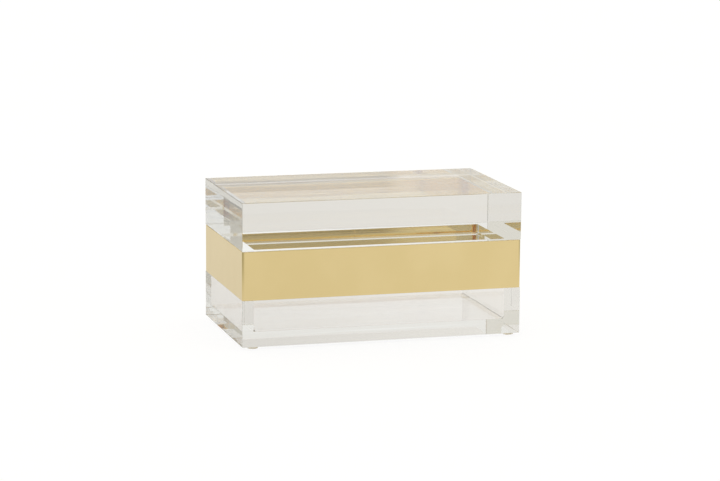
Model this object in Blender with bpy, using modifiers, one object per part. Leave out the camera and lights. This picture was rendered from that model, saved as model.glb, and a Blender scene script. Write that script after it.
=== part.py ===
"""A keepsake box of clear acrylic sheet, with a gold metal band round its walls and a solid lid that lifts off.

All lengths are in metres. The origin lies on the table, under the middle of the box. X runs along the front
from left to right, Y from front to back and Z upwards.
"""

from math import cos, pi, sin

import bmesh
import bpy
from mathutils import Vector

# Outside of the box, without its feet
WIDTH = 0.2032
DEPTH = 0.1143
BARE_BASE_HEIGHT = 0.0327
BAND_HEIGHT = 0.0343
LID_HEIGHT = 0.0340

# Stock that the pieces are cut from
WALL_SHEET = 0.0097
FLOOR_SHEET = 0.0095
PLATE_SHEET = 0.0066
BAND_METAL = 0.0012

# Gaps between the pieces
CEMENT = 0.0003
BAND_SEAT = 0.0003
BAND_BUTT_GAP = 0.0003
LID_REST_GAP = 0.0003
PLATE_CLEARANCE = 0.0003
FOOT_ADHESIVE = 0.0003

# Edges, which are broken and polished
LID_CHAMFER = 0.0003
PLATE_CHAMFER = 0.0011
WALL_CHAMFER = 0.0003
BAND_EDGE_RADIUS = 0.0003
BAND_EDGE_STEPS = 2
BAND_BEND_STEPS = 6

# Stick-on bumper feet: a straight skirt, then a rounded shoulder down to a flat face. They are placed by hand, so
# their middles lie further in from the left side than from the right.
FOOT_RADIUS = 0.0040
FOOT_FACE_RADIUS = 0.0031
FOOT_HEIGHT = 0.0020
FOOT_SKIRT = 0.0006
FOOT_INSET_LEFT = 0.0091
FOOT_INSET_RIGHT = 0.0060
FOOT_INSET_FRONT = 0.0080
FOOT_SIDES = 32
FOOT_SHOULDER_STEPS = 4

# How far a cutter runs past what it cuts, and how close two points are before they are merged
OVERRUN = 0.0020
MERGE = 0.00001

# Levels
UNDERSIDE = FOOT_HEIGHT + FOOT_ADHESIVE
SHOULDER = UNDERSIDE + BARE_BASE_HEIGHT
BAND_BOTTOM = SHOULDER + BAND_SEAT
RIM = BAND_BOTTOM + BAND_HEIGHT
LID_BOTTOM = RIM + LID_REST_GAP
LID_TOP = LID_BOTTOM + LID_HEIGHT
PLATE_TOP = LID_BOTTOM - CEMENT
PLATE_BOTTOM = PLATE_TOP - PLATE_SHEET
FLOOR_TOP = UNDERSIDE + FLOOR_SHEET

# Half sizes, from the middle of the box outwards
HALF_WIDTH = WIDTH / 2
HALF_DEPTH = DEPTH / 2
INNER_HALF_WIDTH = HALF_WIDTH - WALL_SHEET
INNER_HALF_DEPTH = HALF_DEPTH - WALL_SHEET

ACRYLIC_COLOUR = (0.80, 0.77, 0.73, 1)
GOLD_COLOUR = (0.80, 0.62, 0.33, 1)
BUMPER_COLOUR = (0.85, 0.84, 0.82, 1)


def clear_scene():
    """Takes out whatever the file opened with."""
    for obj in list(bpy.data.objects):
        bpy.data.objects.remove(obj)


def new_collection(name):
    collection = bpy.data.collections.new(name)
    bpy.context.scene.collection.children.link(collection)
    return collection


def principled(name, colour, roughness, metallic=0.0, transmission=0.0, ior=1.49):
    """A material with one Principled BSDF."""
    material = bpy.data.materials.new(name)
    material.use_nodes = True
    shader = material.node_tree.nodes["Principled BSDF"]
    shader.inputs["Base Color"].default_value = colour
    shader.inputs["Roughness"].default_value = roughness
    shader.inputs["Metallic"].default_value = metallic
    shader.inputs["Transmission Weight"].default_value = transmission
    shader.inputs["IOR"].default_value = ior
    material.diffuse_color = colour
    return material


def clear_acrylic(name):
    return principled(name + "_acrylic", ACRYLIC_COLOUR, roughness=0.02, transmission=1.0)


def satin_gold(name):
    return principled(name + "_metal", GOLD_COLOUR, roughness=0.25, metallic=1.0)


def clear_bumper(name):
    return principled(name + "_rubber", BUMPER_COLOUR, roughness=0.3, transmission=1.0, ior=1.5)


def add_object(name, bm, collection, location=(0, 0, 0), material=None, parent=None):
    """Makes an object of a bmesh. The location is in the world, also under a parent, which is never turned."""
    mesh = bpy.data.meshes.new(name)
    bm.to_mesh(mesh)
    bm.free()
    if material:
        mesh.materials.append(material)
    obj = bpy.data.objects.new(name, mesh)
    collection.objects.link(obj)
    obj.location = Vector(location)
    if parent:
        obj.parent = parent
        obj.location -= parent.location
    return obj


def box_mesh(size):
    """A box of this size about its own middle."""
    bm = bmesh.new()
    bmesh.ops.create_cube(bm, size=1)
    bmesh.ops.scale(bm, vec=size, verts=bm.verts)
    return bm


def faces_out(face, sides):
    """Whether a face looks out of one of the named sides, such as "-x"."""
    for sign, axis in sides:
        along = face.normal["xyz".index(axis)]
        if abs(along + (sign == "-") - (sign == "+")) < 0.5:
            return True
    return False


def slab(name, low, high, collection, outer_sides=(), chamfer=0.0, **placing):
    """A sawn and polished slab between two corners, chamfered where two of its outer sides meet."""
    low, high = Vector(low), Vector(high)
    bm = box_mesh(high - low)
    outer = [edge for edge in bm.edges if all(faces_out(face, outer_sides) for face in edge.link_faces)]
    if outer:
        bmesh.ops.bevel(bm, geom=outer, offset=chamfer, segments=1, affect="EDGES")
    return add_object(name, bm, collection, (low + high) / 2, **placing)


def cut(obj, cutter):
    boolean = obj.modifiers.new("cut_by_" + cutter.name, "BOOLEAN")
    boolean.operation = "DIFFERENCE"
    boolean.solver = "EXACT"
    boolean.object = cutter


def as_cutter(obj):
    obj.hide_render = True
    obj.display_type = "WIRE"
    return obj


def make_band_rebate(cutters):
    """The ring of material that is milled off the outside of the walls, from the band's shoulder up."""
    inset = BAND_METAL + BAND_SEAT
    core = as_cutter(slab(
        "band_core",
        (-HALF_WIDTH + inset, -HALF_DEPTH + inset, SHOULDER - OVERRUN),
        (HALF_WIDTH - inset, HALF_DEPTH - inset, RIM + 2 * OVERRUN),
        cutters,
    ))
    rebate = as_cutter(slab(
        "band_rebate",
        (-HALF_WIDTH - OVERRUN, -HALF_DEPTH - OVERRUN, SHOULDER),
        (HALF_WIDTH + OVERRUN, HALF_DEPTH + OVERRUN, RIM + OVERRUN),
        cutters,
    ))
    cut(rebate, core)
    return rebate


def make_walls(parts, rebate):
    """Front and back run the full width, and the side walls are cemented in between them."""
    side_end = INNER_HALF_DEPTH - CEMENT
    walls = {
        "front_wall": (
            (-HALF_WIDTH, -HALF_DEPTH, UNDERSIDE),
            (HALF_WIDTH, -INNER_HALF_DEPTH, RIM),
            ("-x", "+x", "-y", "-z"),
        ),
        "back_wall": (
            (-HALF_WIDTH, INNER_HALF_DEPTH, UNDERSIDE),
            (HALF_WIDTH, HALF_DEPTH, RIM),
            ("-x", "+x", "+y", "-z"),
        ),
        "left_wall": (
            (-HALF_WIDTH, -side_end, UNDERSIDE),
            (-INNER_HALF_WIDTH, side_end, RIM),
            ("-x", "-z"),
        ),
        "right_wall": (
            (INNER_HALF_WIDTH, -side_end, UNDERSIDE),
            (HALF_WIDTH, side_end, RIM),
            ("+x", "-z"),
        ),
    }
    for name, (low, high, outer_sides) in walls.items():
        wall = slab(name, low, high, parts, outer_sides, WALL_CHAMFER, material=clear_acrylic(name))
        cut(wall, rebate)


def make_floor(parts):
    """The floor plate lies between the four walls, with its underside level with theirs."""
    half_width = INNER_HALF_WIDTH - CEMENT
    half_depth = INNER_HALF_DEPTH - CEMENT
    slab(
        "floor_plate",
        (-half_width, -half_depth, UNDERSIDE),
        (half_width, half_depth, FLOOR_TOP),
        parts,
        material=clear_acrylic("floor_plate"),
    )


def make_band(parts, cutters):
    """A strip of metal bent round the rebated walls, flush with the acrylic under it and butted at the back."""
    bm = box_mesh((WIDTH, DEPTH, BAND_HEIGHT))
    ends = [face for face in bm.faces if faces_out(face, ("-z", "+z"))]
    bmesh.ops.delete(bm, geom=ends, context="FACES_ONLY")
    corners = [edge for edge in bm.edges if len(edge.link_faces) == 2]
    bmesh.ops.bevel(
        bm,
        geom=corners,
        offset=BAND_METAL + BAND_SEAT,
        segments=BAND_BEND_STEPS,
        profile=0.5,
        affect="EDGES",
    )
    middle = (0, 0, BAND_BOTTOM + BAND_HEIGHT / 2)
    band = add_object("gold_band", bm, parts, middle, material=satin_gold("gold_band"))

    metal = band.modifiers.new("metal_thickness", "SOLIDIFY")
    metal.thickness = BAND_METAL
    metal.offset = -1
    metal.use_even_offset = True
    edges = band.modifiers.new("rounded_edges", "BEVEL")
    edges.width = BAND_EDGE_RADIUS
    edges.segments = BAND_EDGE_STEPS
    edges.limit_method = "ANGLE"
    edges.angle_limit = pi / 3

    butt = as_cutter(slab(
        "band_butt_cut",
        (-BAND_BUTT_GAP / 2, HALF_DEPTH - BAND_METAL - BAND_SEAT, BAND_BOTTOM - OVERRUN),
        (BAND_BUTT_GAP / 2, HALF_DEPTH + OVERRUN, RIM + OVERRUN),
        cutters,
    ))
    cut(band, butt)


def make_lid(parts):
    """The solid block and the plate cemented under it, which keeps the lid in place between the walls."""
    lift = bpy.data.objects.new("lid_lift_axis", None)
    parts.objects.link(lift)
    lift.location = (0, 0, RIM)
    lift.empty_display_size = LID_HEIGHT
    slab(
        "lid_block",
        (-HALF_WIDTH, -HALF_DEPTH, LID_BOTTOM),
        (HALF_WIDTH, HALF_DEPTH, LID_TOP),
        parts,
        ("-x", "+x", "-y", "+y", "-z", "+z"),
        LID_CHAMFER,
        material=clear_acrylic("lid_block"),
        parent=lift,
    )
    plate_half_width = INNER_HALF_WIDTH - PLATE_CLEARANCE
    plate_half_depth = INNER_HALF_DEPTH - PLATE_CLEARANCE
    slab(
        "lid_locating_plate",
        (-plate_half_width, -plate_half_depth, PLATE_BOTTOM),
        (plate_half_width, plate_half_depth, PLATE_TOP),
        parts,
        ("-x", "+x", "-y", "+y", "-z"),
        PLATE_CHAMFER,
        material=clear_acrylic("lid_locating_plate"),
        parent=lift,
    )


def foot_profile():
    """Radius and height of a foot's outline, from the middle of its top down to the middle of its flat face."""
    points = [(0, FOOT_HEIGHT), (FOOT_RADIUS, FOOT_HEIGHT)]
    drop = FOOT_HEIGHT - FOOT_SKIRT
    for step in range(FOOT_SHOULDER_STEPS + 1):
        turn = pi / 2 * step / FOOT_SHOULDER_STEPS
        radius = FOOT_FACE_RADIUS + (FOOT_RADIUS - FOOT_FACE_RADIUS) * cos(turn)
        points.append((radius, drop - drop * sin(turn)))
    points.append((0, 0))
    return points


def make_foot(name, x, y, parts):
    """A bumper foot is turned from its profile, and stuck on under a corner."""
    bm = bmesh.new()
    verts = [bm.verts.new((radius, 0, height)) for radius, height in foot_profile()]
    for upper, lower in zip(verts, verts[1:]):
        bm.edges.new((upper, lower))
    foot = add_object(name, bm, parts, (x, y, 0), material=clear_bumper(name))
    turned = foot.modifiers.new("turned", "SCREW")
    turned.axis = "Z"
    turned.angle = 2 * pi
    turned.steps = FOOT_SIDES
    turned.render_steps = FOOT_SIDES
    turned.use_merge_vertices = True
    turned.merge_threshold = MERGE
    turned.use_smooth_shade = False


def make_feet(parts):
    """One under each corner. The back pair lies as far in as the front pair."""
    left = -HALF_WIDTH + FOOT_INSET_LEFT
    right = HALF_WIDTH - FOOT_INSET_RIGHT
    front = -HALF_DEPTH + FOOT_INSET_FRONT
    for end, y in (("front", front), ("back", -front)):
        for side, x in (("left", left), ("right", right)):
            make_foot(f"foot_{end}_{side}", x, y, parts)


clear_scene()
parts = new_collection("acrylic_box")
cutters = new_collection("cutters")
make_walls(parts, make_band_rebate(cutters))
make_floor(parts)
make_band(parts, cutters)
make_lid(parts)
make_feet(parts)
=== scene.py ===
from math import cos, radians, sin

import bmesh
import bpy
from mathutils import Matrix, Vector


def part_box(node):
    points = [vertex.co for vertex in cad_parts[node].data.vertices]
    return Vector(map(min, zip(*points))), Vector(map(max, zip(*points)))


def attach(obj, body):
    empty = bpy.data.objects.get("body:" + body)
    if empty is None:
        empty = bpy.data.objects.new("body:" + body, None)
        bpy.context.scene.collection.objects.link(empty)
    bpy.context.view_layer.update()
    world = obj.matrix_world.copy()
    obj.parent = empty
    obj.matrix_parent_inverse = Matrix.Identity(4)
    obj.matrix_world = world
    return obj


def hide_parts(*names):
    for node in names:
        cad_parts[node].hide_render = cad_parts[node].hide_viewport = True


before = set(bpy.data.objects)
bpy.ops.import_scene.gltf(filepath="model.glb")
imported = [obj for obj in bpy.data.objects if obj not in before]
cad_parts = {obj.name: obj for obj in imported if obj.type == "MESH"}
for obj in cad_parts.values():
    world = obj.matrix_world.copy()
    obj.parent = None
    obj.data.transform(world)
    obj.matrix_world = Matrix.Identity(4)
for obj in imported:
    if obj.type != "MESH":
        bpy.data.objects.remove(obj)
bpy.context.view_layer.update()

bpy.ops.object.select_all(action="DESELECT")

# Clear base
# Four walls and a floor plate of 10 mm cast acrylic, cemented into one clear open box. The walls are milled
# back above a shoulder to take the metal band, and the outer edges are scraped to small satin chamfers.
# Cement leaves a fillet along the cavity's inner edges, and a drop in each of its lower corners.
outer_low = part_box("front_wall")[0]
outer_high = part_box("back_wall")[1]
inner_low = Vector((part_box("left_wall")[1].x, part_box("front_wall")[1].y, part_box("floor_plate")[1].z))
inner_high = Vector((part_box("right_wall")[0].x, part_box("back_wall")[0].y, outer_high.z))
wall_sheet = inner_low.x - outer_low.x
band_low, band_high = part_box("gold_band")
band_metal = 0.0012
adhesive_contact = 0.00002
shoulder = band_low.z + adhesive_contact
rebate = band_metal - adhesive_contact
base_chamfer = 0.00025
cement_fillet = 0.0002
cement_fillet_steps = 3
cement_drop = 0.0034
cement_drop_steps = 4
same_place = 0.00002
X, Y, Z = range(3)
PARALLEL = 0.99
FACING = 0.9
WHITE = (1, 1, 1, 1)
ACRYLIC_IOR = 1.49
ACRYLIC_ABSORPTION = (0.93, 0.935, 0.93, 1)
ACRYLIC_ABSORPTION_DENSITY = 10
ACRYLIC_ROUGHNESS = 0
ACRYLIC_HAZE = 0.02
acrylic_waves = {"scale": 22, "stretch": (0.3, 2, 1.5), "height": 0.00006}
SCRAPED_SLOT = 1
SCRAPED_ROUGHNESS = 0.22
SCRAPED_HAZE = 0.2
scraped_waves = {"scale": 150, "stretch": (1, 1, 1), "height": 0.00004}
hazy_spots = {"scale": 14, "detail": 4, "low": 0.58, "high": 0.75}


class Socket:
    """One output of a node. An expression on it adds the Math nodes that work it out."""

    def __init__(self, tree, output):
        self.tree = tree
        self.output = output

    def maths(self, operation, first, second):
        return self.tree.add("ShaderNodeMath", {"operation": operation}, {0: first, 1: second})

    def __add__(self, other):
        return self.maths("ADD", self, other)

    def __radd__(self, other):
        return self.maths("ADD", other, self)

    def __sub__(self, other):
        return self.maths("SUBTRACT", self, other)

    def __rsub__(self, other):
        return self.maths("SUBTRACT", other, self)

    def __mul__(self, other):
        return self.maths("MULTIPLY", self, other)

    def __rmul__(self, other):
        return self.maths("MULTIPLY", other, self)

    def __truediv__(self, other):
        return self.maths("DIVIDE", self, other)


class NodeTree:
    """The nodes of one material, or of the world."""

    def __init__(self, owner):
        owner.use_nodes = True
        self.nodes = owner.node_tree.nodes
        self.links = owner.node_tree.links

    def add(self, kind, settings=None, inputs=None, output=0):
        """Adds a node with its settings and the values or links of its inputs. Gives one of its outputs."""
        node = self.nodes.new(kind)
        for name, value in (settings or {}).items():
            setattr(node, name, value)
        self.feed(node, inputs or {})
        return Socket(self, node.outputs[output])

    def feed(self, node, inputs):
        """Gives a node's inputs their values or links."""
        for name, value in inputs.items():
            if isinstance(value, Socket):
                self.links.new(value.output, node.inputs[name])
            else:
                node.inputs[name].default_value = value


def place_on(tree):
    """The place on the piece, in metres."""
    return tree.add("ShaderNodeTexCoord", output="Object")


def clouds(place, scale, detail=2, stretch=(1, 1, 1)):
    """Soft noise around 0.5, finer along the axes that are stretched."""
    tree = place.tree
    drawn = tree.add("ShaderNodeMapping", {}, {"Vector": place, "Scale": stretch})
    return tree.add("ShaderNodeTexNoise", {}, {"Vector": drawn, "Scale": scale, "Detail": detail})


def rise(value, low, high):
    """Goes softly from 0 to 1 while a value goes from low to high."""
    ends = {"Value": value, "From Min": low, "From Max": high}
    return value.tree.add("ShaderNodeMapRange", {"interpolation_type": "SMOOTHSTEP"}, ends)


def patches(place, scale, detail, low, high):
    """Patches with soft edges: 0 where clouds are thinner than low, 1 where they are thicker than high."""
    return rise(clouds(place, scale, detail), low, high)


def bump(height, distance):
    """A surface that stands up by a distance where the height is 1."""
    return height.tree.add("ShaderNodeBump", {}, {"Strength": 1, "Distance": distance, "Height": height})


def clear_plastic(name, ior, roughness, haze, waves, absorption, density):
    """A clear plastic, a little wavy and with hazy spots, that tints light by its way inside."""
    material = bpy.data.materials.new(name)
    tree = NodeTree(material)
    place = place_on(tree)
    polish = clouds(place, waves["scale"], stretch=waves["stretch"])
    tree.feed(tree.nodes["Principled BSDF"], {
        "Base Color": WHITE,
        "Roughness": roughness + haze * patches(place, **hazy_spots),
        "IOR": ior,
        "Transmission Weight": 1,
        "Normal": bump(polish, waves["height"]),
    })
    volume = tree.add("ShaderNodeVolumeAbsorption", {}, {"Color": absorption, "Density": density})
    tree.feed(tree.nodes["Material Output"], {"Volume": volume})
    return material


def start_solid(name, low, high):
    """Adds a box between two corners and opens it in edit mode."""
    low, high = Vector(low), Vector(high)
    bpy.ops.object.select_all(action="DESELECT")
    bpy.ops.mesh.primitive_cube_add(size=1, location=(low + high) / 2, scale=high - low)
    piece = bpy.context.object
    piece.name = piece.data.name = name
    bpy.ops.object.transform_apply(location=True, rotation=True, scale=True)
    bpy.ops.object.mode_set(mode="EDIT")
    return piece


def pick(piece, kind, test):
    """Selects the faces, edges or corners of the open piece that pass a test, and nothing else."""
    bpy.ops.mesh.select_mode(type=kind)
    bpy.ops.mesh.select_all(action="DESELECT")
    mesh = bmesh.from_edit_mesh(piece.data)
    for part in {"FACE": mesh.faces, "EDGE": mesh.edges, "VERT": mesh.verts}[kind]:
        if test(part):
            part.select_set(True)
    bmesh.update_edit_mesh(piece.data)


def middle(part):
    """The middle of a face or an edge."""
    points = [vert.co for vert in part.verts]
    return sum(points, Vector()) / len(points)


def near(value, *levels):
    """Whether a value is the same as one of the levels."""
    return any(abs(value - level) < same_place for level in levels)


def runs_along(edge, axis):
    """Whether an edge is parallel to the X, Y or Z axis."""
    line = (edge.verts[1].co - edge.verts[0].co).normalized()
    return abs(line[axis]) > PARALLEL


def facing(axis, sign, level):
    """A test for the flat faces at a level that look along an axis, or against it where the sign is -1."""
    return lambda face: face.normal[axis] * sign > FACING and near(middle(face)[axis], level)


def extrude(height):
    """Pulls the selected face up, or down where the height is below 0."""
    bpy.ops.mesh.extrude_region_move(TRANSFORM_OT_translate={"value": (0, 0, height)})


def finish_solid(piece):
    """Closes the piece's edit mode, with its faces turned outwards."""
    bpy.ops.mesh.select_all(action="SELECT")
    bpy.ops.mesh.normals_make_consistent(inside=False)
    bpy.ops.mesh.select_all(action="DESELECT")
    bpy.ops.object.mode_set(mode="OBJECT")


def base_outer_edge(edge):
    """Whether an edge of the base is an upright corner below the shoulder, or lies on the underside."""
    at = middle(edge)
    below = at.z < shoulder - base_chamfer
    at_corner = near(at.x, outer_low.x, outer_high.x) and near(at.y, outer_low.y, outer_high.y)
    upright = runs_along(edge, Z) and at_corner
    return below and (upright or near(at.z, outer_low.z))


def in_cavity(at):
    """Whether a place lies over the cavity's floor or on its walls."""
    return all(inner_low[axis] - rebate < at[axis] < inner_high[axis] + rebate for axis in (X, Y))


def cavity_corner_edge(edge):
    """Whether two sheets are cemented along an edge of the cavity."""
    at = middle(edge)
    on_floor = near(at.z, inner_low.z) and (runs_along(edge, X) or runs_along(edge, Y))
    upright = runs_along(edge, Z) and at.z < outer_high.z - rebate
    return in_cavity(at) and (on_floor or upright)


acrylic = clear_plastic(
    "cast_acrylic", ACRYLIC_IOR, ACRYLIC_ROUGHNESS, ACRYLIC_HAZE, acrylic_waves,
    ACRYLIC_ABSORPTION, ACRYLIC_ABSORPTION_DENSITY,
)
scraped_acrylic = clear_plastic(
    "scraped_acrylic_edge", ACRYLIC_IOR, SCRAPED_ROUGHNESS, SCRAPED_HAZE, scraped_waves,
    ACRYLIC_ABSORPTION, ACRYLIC_ABSORPTION_DENSITY,
)
clear_base = start_solid("clear_base", outer_low, (outer_high.x, outer_high.y, shoulder))
clear_base.data.materials.append(acrylic)
clear_base.data.materials.append(scraped_acrylic)
pick(clear_base, "FACE", facing(Z, 1, shoulder))
bpy.ops.mesh.inset(thickness=rebate)
extrude(outer_high.z - shoulder)
bpy.ops.mesh.inset(thickness=wall_sheet - rebate)
extrude(inner_low.z - outer_high.z)
pick(clear_base, "EDGE", base_outer_edge)
bpy.ops.mesh.bevel(offset=base_chamfer, segments=1, affect="EDGES", material=SCRAPED_SLOT)
pick(clear_base, "VERT", lambda vert: in_cavity(vert.co) and near(vert.co.z, inner_low.z))
bpy.ops.mesh.bevel(offset=cement_drop, segments=cement_drop_steps, affect="VERTICES")
pick(clear_base, "EDGE", cavity_corner_edge)
bpy.ops.mesh.bevel(offset=cement_fillet, segments=cement_fillet_steps, affect="EDGES")
finish_solid(clear_base)
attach(clear_base, "box")
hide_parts("front_wall", "back_wall", "left_wall", "right_wall", "floor_plate")

# Metal band
# One strip of thin satin gold metal, bent round the milled part of the walls with a small radius at each
# corner. Its ends are butted at the middle of the back, and its edges are rounded over.
band_bend_radius = 0.0015
band_bend_steps = 12
band_edge_radius = 0.0003
band_edge_steps = 3
band_edge_angle = radians(60)
band_butt_gap = 0.0001
INWARDS = -1
GOLD = (0.875, 0.718, 0.38, 1)
GOLD_CLOUDED = (0.85, 0.693, 0.357, 1)
# Painted dark reflection: the gold's colour is darkened at each corner bend, most towards the top of the
# band.
GOLD_PAINTED_BEND_REFLECTION = (0.42, 0.35, 0.15, 1)
GOLD_ROUGHNESS_INSIDE = 0.04
GOLD_ROUGHNESS_OUTSIDE = 0.06
GOLD_ROUGHNESS_BRUSHED = 0.04
gold_brushing = {"scale": 60, "stretch": (0.2, 0.2, 40), "height": 0.000001}
gold_clouds = {"scale": 25, "detail": 3, "low": 0.35, "high": 0.65}
painted_reflection_reach = 1.4 * band_bend_radius
outside_skin = (band_metal / 4, band_metal / 2)
CLOUDS_MIDDLE = 0.5


def parts_of(vector):
    """The three numbers of a vector."""
    return [vector.tree.add("ShaderNodeSeparateXYZ", {}, {0: vector}, axis) for axis in (X, Y, Z)]


def size_of(value):
    """A number without its sign."""
    return value.maths("ABSOLUTE", value, 0)


def blend(share, first, second):
    """Goes from a first number to a second one with a share from 0 to 1."""
    return first + (second - first) * share


def mix_colours(share, first, second):
    """Goes from a first colour to a second one, in the Mix node's colour inputs 6 and 7 and its output 2."""
    return share.tree.add("ShaderNodeMix", {"data_type": "RGBA"}, {"Factor": share, 6: first, 7: second}, 2)


metal_band = start_solid("metal_band", band_low, band_high)
pick(metal_band, "FACE", lambda face: abs(face.normal.z) > FACING)
bpy.ops.mesh.delete(type="ONLY_FACE")
pick(metal_band, "EDGE", lambda edge: runs_along(edge, Z))
bpy.ops.mesh.bevel(offset=band_bend_radius, segments=band_bend_steps, affect="EDGES")
for side in (-1, 1):
    pick(metal_band, "FACE", facing(Y, 1, band_high.y))
    bpy.ops.mesh.bisect(plane_co=(side * band_butt_gap / 2, 0, 0), plane_no=(1, 0, 0))
pick(metal_band, "FACE", lambda face: face.normal.y > FACING and abs(middle(face).x) < band_butt_gap)
bpy.ops.mesh.delete(type="FACE")
finish_solid(metal_band)
thickness = metal_band.modifiers.new("thickness", "SOLIDIFY")
thickness.thickness = band_metal
thickness.offset = INWARDS
thickness.use_even_offset = True
edges = metal_band.modifiers.new("edges", "BEVEL")
edges.width = band_edge_radius
edges.segments = band_edge_steps
edges.limit_method = "ANGLE"
edges.angle_limit = band_edge_angle
even_shading = metal_band.modifiers.new("even_shading", "WEIGHTED_NORMAL")
even_shading.keep_sharp = False
for polygon in metal_band.data.polygons:
    polygon.use_smooth = True
bpy.context.view_layer.objects.active = metal_band
for modifier in ("thickness", "edges", "even_shading"):
    bpy.ops.object.modifier_apply(modifier=modifier)

satin_gold = bpy.data.materials.new("satin_gold")
tree = NodeTree(satin_gold)
place = place_on(tree)
across, along, height = parts_of(place)
from_side = band_high.x - size_of(across)
from_front = band_high.y - size_of(along)
outside = 1 - rise(from_side.maths("MINIMUM", from_side, from_front), *outside_skin)
# A painted dark reflection on the corner bends: darker gold near each bend, rising towards the top edge.
at_bend = (1 - rise(from_side, 0, painted_reflection_reach)) * (1 - rise(from_front, 0, painted_reflection_reach))
painted_bend_reflection = at_bend * rise(height, band_low.z, band_high.z)
brushing = clouds(place, gold_brushing["scale"], stretch=gold_brushing["stretch"])
roughness = blend(outside, GOLD_ROUGHNESS_INSIDE, GOLD_ROUGHNESS_OUTSIDE)
clouded = mix_colours(patches(place, **gold_clouds), GOLD, GOLD_CLOUDED)
tree.feed(tree.nodes["Principled BSDF"], {
    "Base Color": mix_colours(painted_bend_reflection, clouded, GOLD_PAINTED_BEND_REFLECTION),
    "Metallic": 1,
    "Roughness": roughness + GOLD_ROUGHNESS_BRUSHED * (brushing - CLOUDS_MIDDLE) * outside,
    "Normal": bump(brushing * outside, gold_brushing["height"]),
})
metal_band.data.materials.append(satin_gold)
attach(metal_band, "box")
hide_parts("gold_band")

# Bumper feet
# Clear soft bumpers, stuck on under the four corners of the base. Each has a rounded shoulder and a flat
# face that it stands on.
foot_sides = 48
foot_round = 0.0009
foot_round_steps = 6
foot_adhesive = 0.00002
foot_top = outer_low.z - foot_adhesive
foot_smooth_angle = radians(30)
BUMPER_IOR = 1.5
BUMPER_ABSORPTION = (0.8, 0.78, 0.7, 1)
BUMPER_ABSORPTION_DENSITY = 60
BUMPER_ROUGHNESS = 0.12
BUMPER_HAZE = 0.1
bumper_waves = {"scale": 400, "stretch": (1, 1, 1), "height": 0.00005}

bumper = clear_plastic(
    "clear_bumper", BUMPER_IOR, BUMPER_ROUGHNESS, BUMPER_HAZE, bumper_waves,
    BUMPER_ABSORPTION, BUMPER_ABSORPTION_DENSITY,
)
for corner in ("front_left", "front_right", "back_left", "back_right"):
    foot_low, foot_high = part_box("foot_" + corner)
    bpy.ops.object.select_all(action="DESELECT")
    bpy.ops.mesh.primitive_cylinder_add(
        vertices=foot_sides,
        radius=(foot_high.x - foot_low.x) / 2,
        depth=foot_top,
        location=((foot_low.x + foot_high.x) / 2, (foot_low.y + foot_high.y) / 2, foot_top / 2),
    )
    foot = bpy.context.object
    foot.name = foot.data.name = "bumper_" + corner
    bpy.ops.object.transform_apply(location=True, rotation=True, scale=True)
    bpy.ops.object.mode_set(mode="EDIT")
    pick(foot, "EDGE", lambda edge: near(middle(edge).z, 0))
    bpy.ops.mesh.bevel(offset=foot_round, segments=foot_round_steps, affect="EDGES")
    finish_solid(foot)
    bpy.ops.object.shade_smooth_by_angle(angle=foot_smooth_angle)
    foot.data.materials.append(bumper)
    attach(foot, "box")
    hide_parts("foot_" + corner)

# Clear lid
# A solid block of cast acrylic with a smaller plate cemented under it, which drops in between the walls.
# The block's edges are scraped to small satin chamfers, and the plate's free edges have wide polished ones.
block_low, block_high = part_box("lid_block")
plate_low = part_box("lid_locating_plate")[0]
lid_chamfer = 0.00025
plate_chamfer = 0.0011

clear_lid = start_solid("clear_lid", block_low, block_high)
clear_lid.data.materials.append(acrylic)
clear_lid.data.materials.append(scraped_acrylic)
pick(clear_lid, "EDGE", lambda edge: True)
bpy.ops.mesh.bevel(offset=lid_chamfer, segments=1, affect="EDGES", material=SCRAPED_SLOT)
pick(clear_lid, "FACE", facing(Z, -1, block_low.z))
bpy.ops.mesh.inset(thickness=plate_low.x - block_low.x - lid_chamfer)
extrude(plate_low.z - block_low.z)
pick(clear_lid, "EDGE", lambda edge: middle(edge).z < block_low.z - lid_chamfer)
bpy.ops.mesh.bevel(offset=plate_chamfer, segments=1, affect="EDGES")
finish_solid(clear_lid)
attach(clear_lid, "lid")
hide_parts("lid_block", "lid_locating_plate")

# Studio
# A white table in a soft white tent. The tent is open on the camera's side, where a dark room shows, and has
# a bright panel at the back. The metal and the acrylic show all of it, and the camera sees plain white.
table_size = 8
table_turn_radius = 0.05
table_glow_share = 0.85
table_wear = {"scale": 3, "detail": 4, "low": 0.4, "high": 0.7}
table_grain = {"scale": 900, "height": 0.00003}
TABLE_WHITE = 0.9
TABLE_WORN = 0.86
TABLE_SEEN_WHITE = 1.08
TABLE_GLOW = 0.84
TABLE_GLOW_TO_RIGHT = 0.07
TABLE_GLOW_TO_BACK = 0.005
WARM_WHITE = Vector((1.0, 0.972, 0.925))
TENT_LEFT_WHITE = Vector((1.0, 0.968, 0.875))
TENT_RIGHT_WHITE = Vector((1.0, 0.985, 0.94))
TENT_TOP_WHITE = (0.81, 0.775, 0.69, 1)
ROOM_LOW_WHITE = Vector((1.0, 0.97, 0.9))
ROOM_HIGH_WHITE = Vector((1.0, 0.94, 0.77))
PANEL_WHITE = (0.99, 0.99, 0.97, 1)
BACKDROP_WHITE = (0.87, 0.885, 0.915, 1)
TENT_LEVEL = 0.72
TENT_TO_RIGHT = 0.17
TENT_TO_BACK = 0.11
ROOM_LOW = 0.14
ROOM_HIGH = 0.51
ROOM_BESIDE_LOW = 1.03
ROOM_BESIDE_HIGH = 0.72

# Where each part of the surround begins and is full, by how far a direction goes right, back or up.
front_turn = (0.3, 0.6)
tent_tint_turn = (-0.2, 0.2)
tent_top = (0.5, 0.8)
panel_turn = (0.0, 0.2)
panel_end = (0.25, 0.34)
panel_foot = (0.1675, 0.1725)
panel_top = (0.199, 0.2145)
room_rise = (0.166, 0.174)
room_edge_turn = 0.3012
room_edge_soft = 0.004
room_far_turn = 0.176
room_far_soft = 0.05


def shade(level, white):
    """A white at a level that is worked out by nodes."""
    return level.tree.add("ShaderNodeVectorMath", {"operation": "SCALE"}, {0: tuple(white), "Scale": level})


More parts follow.
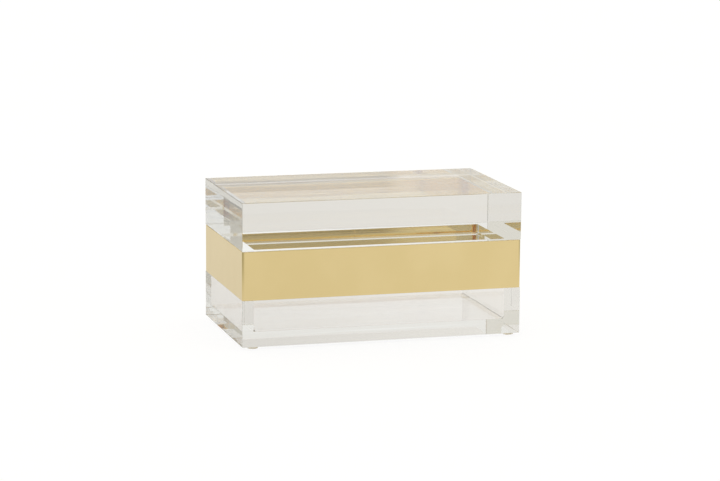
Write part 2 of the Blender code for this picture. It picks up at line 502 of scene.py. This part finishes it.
bpy.ops.object.select_all(action="DESELECT")
bpy.ops.mesh.primitive_plane_add(size=table_size)
table = bpy.context.object
table.name = "table"
table_paint = bpy.data.materials.new("table_paint")
tree = NodeTree(table_paint)
paint = tree.nodes["Principled BSDF"]
place = place_on(tree)
fresh_white, worn_white = [(*(level * WARM_WHITE), 1) for level in (TABLE_WHITE, TABLE_WORN)]
tree.feed(paint, {
    "Base Color": mix_colours(patches(place, **table_wear), fresh_white, worn_white),
    "Roughness": 1,
    "Specular IOR Level": 0,
    "Normal": bump(clouds(place, table_grain["scale"]), table_grain["height"]),
})
painted = Socket(tree, paint.outputs[0])
across, along, _ = parts_of(place)
reach_squared = across * across + along * along + table_turn_radius ** 2
reach = reach_squared.maths("POWER", reach_squared, 0.5)
glow_level = TABLE_GLOW + TABLE_GLOW_TO_RIGHT * (across / reach) + TABLE_GLOW_TO_BACK * (along / reach)
glow = tree.add("ShaderNodeEmission", {}, {"Color": shade(glow_level, WARM_WHITE), "Strength": 1})
white = tree.add("ShaderNodeEmission", {}, {"Color": WHITE, "Strength": TABLE_SEEN_WHITE})
lit = tree.add("ShaderNodeMixShader", {}, {0: table_glow_share, 1: painted, 2: glow})
bright = tree.add("ShaderNodeMixShader", {}, {0: table_glow_share, 1: painted, 2: white})
camera_ray = tree.add("ShaderNodeLightPath", output="Is Camera Ray")
glossy_ray = tree.add("ShaderNodeLightPath", output="Is Glossy Ray")
through_ray = tree.add("ShaderNodeLightPath", output="Is Transmission Ray")
mirrored = glossy_ray.maths("MAXIMUM", glossy_ray, through_ray)
around_it = tree.add("ShaderNodeMixShader", {}, {0: mirrored, 1: painted, 2: lit})
surface = tree.add("ShaderNodeMixShader", {}, {0: camera_ray, 1: around_it, 2: bright})
tree.feed(tree.nodes["Material Output"], {"Surface": surface})
table.data.materials.append(table_paint)

tent = bpy.data.worlds.new("tent")
bpy.context.scene.world = tent
tree = NodeTree(tent)
to_right, to_back, upwards = parts_of(tree.add("ShaderNodeTexCoord", output="Generated"))
to_front = 0 - to_back
beside = rise(to_right - room_edge_turn * to_front, -room_edge_soft, room_edge_soft)
room = mix_colours(
    rise(upwards, *room_rise),
    shade(blend(beside, ROOM_LOW, ROOM_BESIDE_LOW), ROOM_LOW_WHITE),
    shade(blend(beside, ROOM_HIGH, ROOM_BESIDE_HIGH), ROOM_HIGH_WHITE),
)
before_room_end = rise(to_right + room_far_turn * to_front, -room_far_soft, room_far_soft)
in_room = rise(to_front, *front_turn) * before_room_end
panel_width = rise(to_right, *panel_turn) * (1 - rise(to_right, *panel_end))
in_panel = rise(to_back, *front_turn) * panel_width * (1 - rise(upwards, *panel_top))
tent_level = TENT_LEVEL + TENT_TO_RIGHT * to_right + TENT_TO_BACK * to_back
tent_left = shade(tent_level, TENT_LEFT_WHITE)
tent_right = shade(tent_level, TENT_RIGHT_WHITE)
tent_sides = mix_colours(rise(to_right, *tent_tint_turn), tent_left, tent_right)
tent_walls = mix_colours(rise(upwards, *tent_top), tent_sides, TENT_TOP_WHITE)
panel = mix_colours(rise(upwards, *panel_foot), BACKDROP_WHITE, PANEL_WHITE)
around = mix_colours(in_panel, mix_colours(in_room, tent_walls, room), panel)
camera_ray = tree.add("ShaderNodeLightPath", output="Is Camera Ray")
tree.feed(tree.nodes["Background"], {"Color": mix_colours(camera_ray, around, WHITE), "Strength": 1})

# Camera
# The photograph's viewpoint: a long lens, a little to the left of the front and a little above the lid.
camera_azimuth = radians(16.08)
camera_elevation = radians(10.38)
camera_roll = radians(0.396)
camera_distance = 1.94426
camera_aim = Vector((-0.00074, 0, outer_low.z + 0.06121))
camera_lens = 135.04
camera_clip_start = 0.01
sensor_width = 36

forward = Vector((
    sin(camera_azimuth) * cos(camera_elevation),
    cos(camera_azimuth) * cos(camera_elevation),
    -sin(camera_elevation),
))
right = forward.cross(Vector((0, 0, 1))).normalized()
up = right.cross(forward)
turned_right = cos(camera_roll) * right + sin(camera_roll) * up
turned_up = cos(camera_roll) * up - sin(camera_roll) * right
camera = bpy.data.objects.new("camera", bpy.data.cameras.new("camera"))
bpy.context.scene.collection.objects.link(camera)
camera.matrix_world = (
    Matrix.Translation(camera_aim - camera_distance * forward)
    @ Matrix((turned_right, turned_up, -forward)).transposed().to_4x4()
)
camera.data.lens = camera_lens
camera.data.sensor_width = sensor_width
camera.data.clip_start = camera_clip_start
bpy.context.scene.camera = camera

# Picture settings
# Light has to pass many faces of clear acrylic, and the colours are shown as they are.
LIGHT_BOUNCES = 40

cycles = bpy.context.scene.cycles
cycles.max_bounces = LIGHT_BOUNCES
cycles.transmission_bounces = LIGHT_BOUNCES
cycles.glossy_bounces = LIGHT_BOUNCES
cycles.caustics_reflective = True
cycles.caustics_refractive = True
bpy.context.scene.view_settings.view_transform = "Standard"
